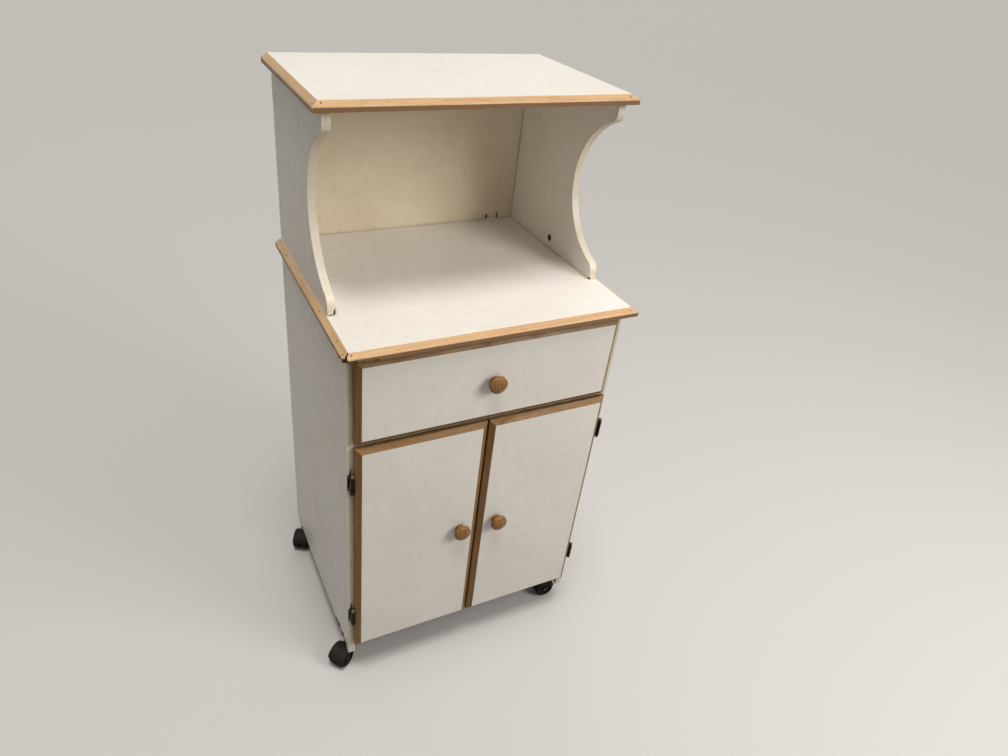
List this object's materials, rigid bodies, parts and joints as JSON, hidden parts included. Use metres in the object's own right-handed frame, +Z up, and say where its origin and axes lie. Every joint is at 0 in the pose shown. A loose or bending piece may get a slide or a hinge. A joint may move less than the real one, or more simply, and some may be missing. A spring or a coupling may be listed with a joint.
{
  "type": "rolling kitchen cabinet",
  "caption": "White rolling kitchen cabinet with a drawer over paired doors, an open hutch with scooped sides, oak mouldings and swivel casters.",
  "frame": {"origin": "on the floor, in the middle of the space that the whole cabinet takes at rest", "axes": "+Z up, the front with its doors and drawer faces -Y, +X to the right of someone facing the front"},
  "size_m": [0.6426, 0.5202, 1.28],
  "materials": {
    "white_melamine": "satin off-white melamine foil on particle board, lightly worn",
    "hutch_backing": "satin cream-white foil on hardboard",
    "hardboard": "bare brown hardboard",
    "oak_moulding": "satin lacquered light oak",
    "knob_wood": "satin lacquered honey-coloured hardwood",
    "drawer_board": "satin white foil-wrapped particle board",
    "runner_enamel": "white enamel, semi-gloss",
    "hinge_bronze": "dark antique bronze lacquer, rubbed at the edges",
    "hinge_screw_bronze": "bronze lacquer worn to bright steel",
    "zinc_steel": "zinc plated",
    "dowel_wood": "bare beech",
    "caster_steel": "bright nickel-plated steel",
    "caster_hood_plastic": "black moulded plastic, dusty",
    "caster_wheel_plastic": "black moulded plastic, scuffed on the tread"
  },
  "bodies": {
    "carcass": {"side_panel_left": "white_melamine", "side_panel_right": "white_melamine", "floor_panel": "white_melamine", "drawer_rail": "white_melamine", "top_rails": "white_melamine", "cabinet_back": "hardboard", "inner_shelf": "white_melamine", "shelf_pins": "zinc_steel", "cam_locks": "zinc_steel", "worktop_board": "white_melamine", "worktop_trim_front": "oak_moulding", "worktop_trim_left": "oak_moulding", "worktop_trim_right": "oak_moulding", "hutch_side_left": "white_melamine", "hutch_side_right": "white_melamine", "hutch_back": "hutch_backing", "hutch_dowels": "dowel_wood", "top_board": "white_melamine", "top_trim_front": "oak_moulding", "top_trim_left": "oak_moulding", "top_trim_right": "oak_moulding", "runner_left": "runner_enamel", "runner_right": "runner_enamel", "hinge_frame_leaves": "hinge_bronze", "hinge_pins": "hinge_bronze", "hinge_screws": "hinge_screw_bronze", "caster_sockets": "caster_steel"},
    "drawer": {"drawer_front": "white_melamine", "drawer_trim": "oak_moulding", "drawer_side_left": "drawer_board", "drawer_side_right": "drawer_board", "drawer_box_front": "drawer_board", "drawer_box_back": "drawer_board", "drawer_bottom": "hardboard", "drawer_slide_left": "runner_enamel", "drawer_slide_right": "runner_enamel", "drawer_knob": "knob_wood", "drawer_knob_screw": "zinc_steel"},
    "door_left": {"door_left_panel": "white_melamine", "door_left_trim": "oak_moulding", "door_left_knob": "knob_wood", "door_left_hinge_leaves": "hinge_bronze", "door_left_screws": "zinc_steel"},
    "door_right": {"door_right_panel": "white_melamine", "door_right_trim": "oak_moulding", "door_right_knob": "knob_wood", "door_right_hinge_leaves": "hinge_bronze", "door_right_screws": "zinc_steel"},
    "caster_fl_swivel": {"caster_fl_hood": "caster_hood_plastic", "caster_fl_pins": "caster_steel"},
    "caster_fl_roll": {"caster_fl_wheels": "caster_wheel_plastic"},
    "caster_fr_swivel": {"caster_fr_hood": "caster_hood_plastic", "caster_fr_pins": "caster_steel"},
    "caster_fr_roll": {"caster_fr_wheels": "caster_wheel_plastic"},
    "caster_rl_swivel": {"caster_rl_hood": "caster_hood_plastic", "caster_rl_pins": "caster_steel"},
    "caster_rl_roll": {"caster_rl_wheels": "caster_wheel_plastic"},
    "caster_rr_swivel": {"caster_rr_hood": "caster_hood_plastic", "caster_rr_pins": "caster_steel"},
    "caster_rr_roll": {"caster_rr_wheels": "caster_wheel_plastic"}
  },
  "joints": [
    {"name": "drawer_slide", "type": "slide", "parent": "carcass", "child": "drawer", "axis": [0, -1, 0], "range_m": [0, 0.29]},
    {"name": "door_left_hinge", "type": "hinge", "parent": "carcass", "child": "door_left", "pos_m": [-0.27225, -0.22635, 0.398], "axis": [0, 0, -1], "range_deg": [0, 110]},
    {"name": "door_right_hinge", "type": "hinge", "parent": "carcass", "child": "door_right", "pos_m": [0.29895, -0.22635, 0.398], "axis": [0, 0, 1], "range_deg": [0, 110]},
    {"name": "caster_fl_turn", "type": "hinge", "parent": "carcass", "child": "caster_fl_swivel", "pos_m": [-0.27215, -0.17685, 0.05], "axis": [0, 0, 1], "continuous": true},
    {"name": "caster_fl_spin", "type": "hinge", "parent": "caster_fl_swivel", "child": "caster_fl_roll", "pos_m": [-0.29017, -0.18947, 0.025], "axis": [0.5736, -0.8192, 0], "continuous": true},
    {"name": "caster_fr_turn", "type": "hinge", "parent": "carcass", "child": "caster_fr_swivel", "pos_m": [0.29585, -0.17685, 0.05], "axis": [0, 0, 1], "continuous": true},
    {"name": "caster_fr_spin", "type": "hinge", "parent": "caster_fr_swivel", "child": "caster_fr_roll", "pos_m": [0.27385, -0.17685, 0.025], "axis": [0, -1, 0], "continuous": true},
    {"name": "caster_rl_turn", "type": "hinge", "parent": "carcass", "child": "caster_rl_swivel", "pos_m": [-0.27215, 0.22415, 0.05], "axis": [0, 0, 1], "continuous": true},
    {"name": "caster_rl_spin", "type": "hinge", "parent": "caster_rl_swivel", "child": "caster_rl_roll", "pos_m": [-0.28315, 0.2051, 0.025], "axis": [0.866, -0.5, 0], "continuous": true},
    {"name": "caster_rr_turn", "type": "hinge", "parent": "carcass", "child": "caster_rr_swivel", "pos_m": [0.29585, 0.22415, 0.05], "axis": [0, 0, 1], "continuous": true},
    {"name": "caster_rr_spin", "type": "hinge", "parent": "caster_rr_swivel", "child": "caster_rr_roll", "pos_m": [0.27783, 0.21153, 0.025], "axis": [0.5736, -0.8192, 0], "continuous": true}
  ]
}
